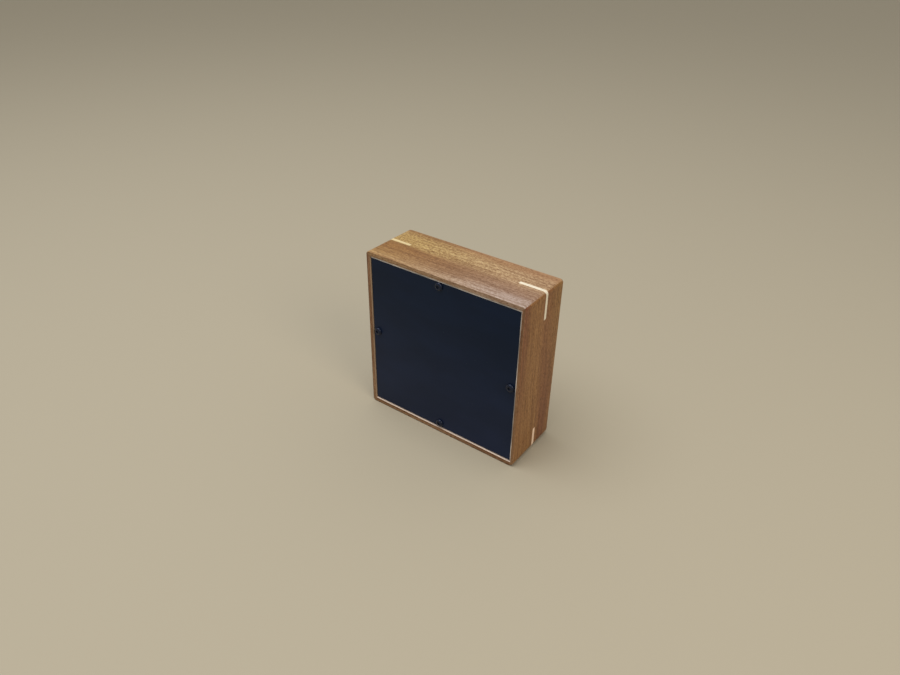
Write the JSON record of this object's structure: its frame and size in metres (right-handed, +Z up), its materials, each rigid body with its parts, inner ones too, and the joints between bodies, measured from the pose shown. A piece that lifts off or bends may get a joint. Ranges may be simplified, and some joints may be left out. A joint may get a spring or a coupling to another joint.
{
  "type": "wooden puzzle box",
  "caption": "Square splined wooden box with a screwed-on black panel, a lift-off lid and a hidden compartment locked by loose sliding pins.",
  "frame": {"origin": "middle of the bottom rail's outer face, which the box stands on", "axes": "+Z up, +Y from the black panel's side to the lid's side, +X to the right of a viewer who faces the black panel"},
  "size_m": [0.12, 0.046, 0.12],
  "materials": {
    "sapele": "oiled, satin",
    "maple": "oiled, satin",
    "birch_plywood": "bare, sanded",
    "walnut": "oiled, satin",
    "black_panel": "fine matte acrylic sheet",
    "black_steel": "black oxide",
    "brass": "turned",
    "steel": "ground"
  },
  "bodies": {
    "box": {"rail_top": "sapele", "rail_right": "sapele", "rail_bottom": "sapele", "rail_left": "sapele", "spline_top_left": "maple", "spline_top_right": "maple", "spline_bottom_left": "maple", "spline_bottom_right": "maple", "back_panel": "black_panel", "lock_plate": "birch_plywood", "panel_screw_top": "black_steel", "panel_screw_right": "black_steel", "panel_screw_bottom": "black_steel", "panel_screw_left": "black_steel", "insert_top": "brass", "insert_right": "brass", "insert_bottom": "brass", "insert_left": "brass"},
    "lid": {"lid_panel": "sapele", "lid_post": "maple", "lid_wedge": "walnut"},
    "pin_top": {"lock_pin_top": "steel"},
    "pin_right": {"lock_pin_right": "steel"},
    "pin_bottom": {"lock_pin_bottom": "steel"},
    "pin_left": {"lock_pin_left": "steel"}
  },
  "joints": [
    {"name": "lid_lift", "type": "slide", "parent": "box", "child": "lid", "axis": [0, 1, 0], "range_m": [0, 0.045]},
    {"name": "pin_top_slide", "type": "slide", "parent": "box", "child": "pin_top", "axis": [0, 0, -1], "range_m": [0, 0.0044]},
    {"name": "pin_right_slide", "type": "slide", "parent": "box", "child": "pin_right", "axis": [-1, 0, 0], "range_m": [0, 0.0044]},
    {"name": "pin_bottom_slide", "type": "slide", "parent": "box", "child": "pin_bottom", "axis": [0, 0, 1], "range_m": [0, 0.0044]},
    {"name": "pin_left_slide", "type": "slide", "parent": "box", "child": "pin_left", "axis": [1, 0, 0], "range_m": [0, 0.0044]}
  ]
}
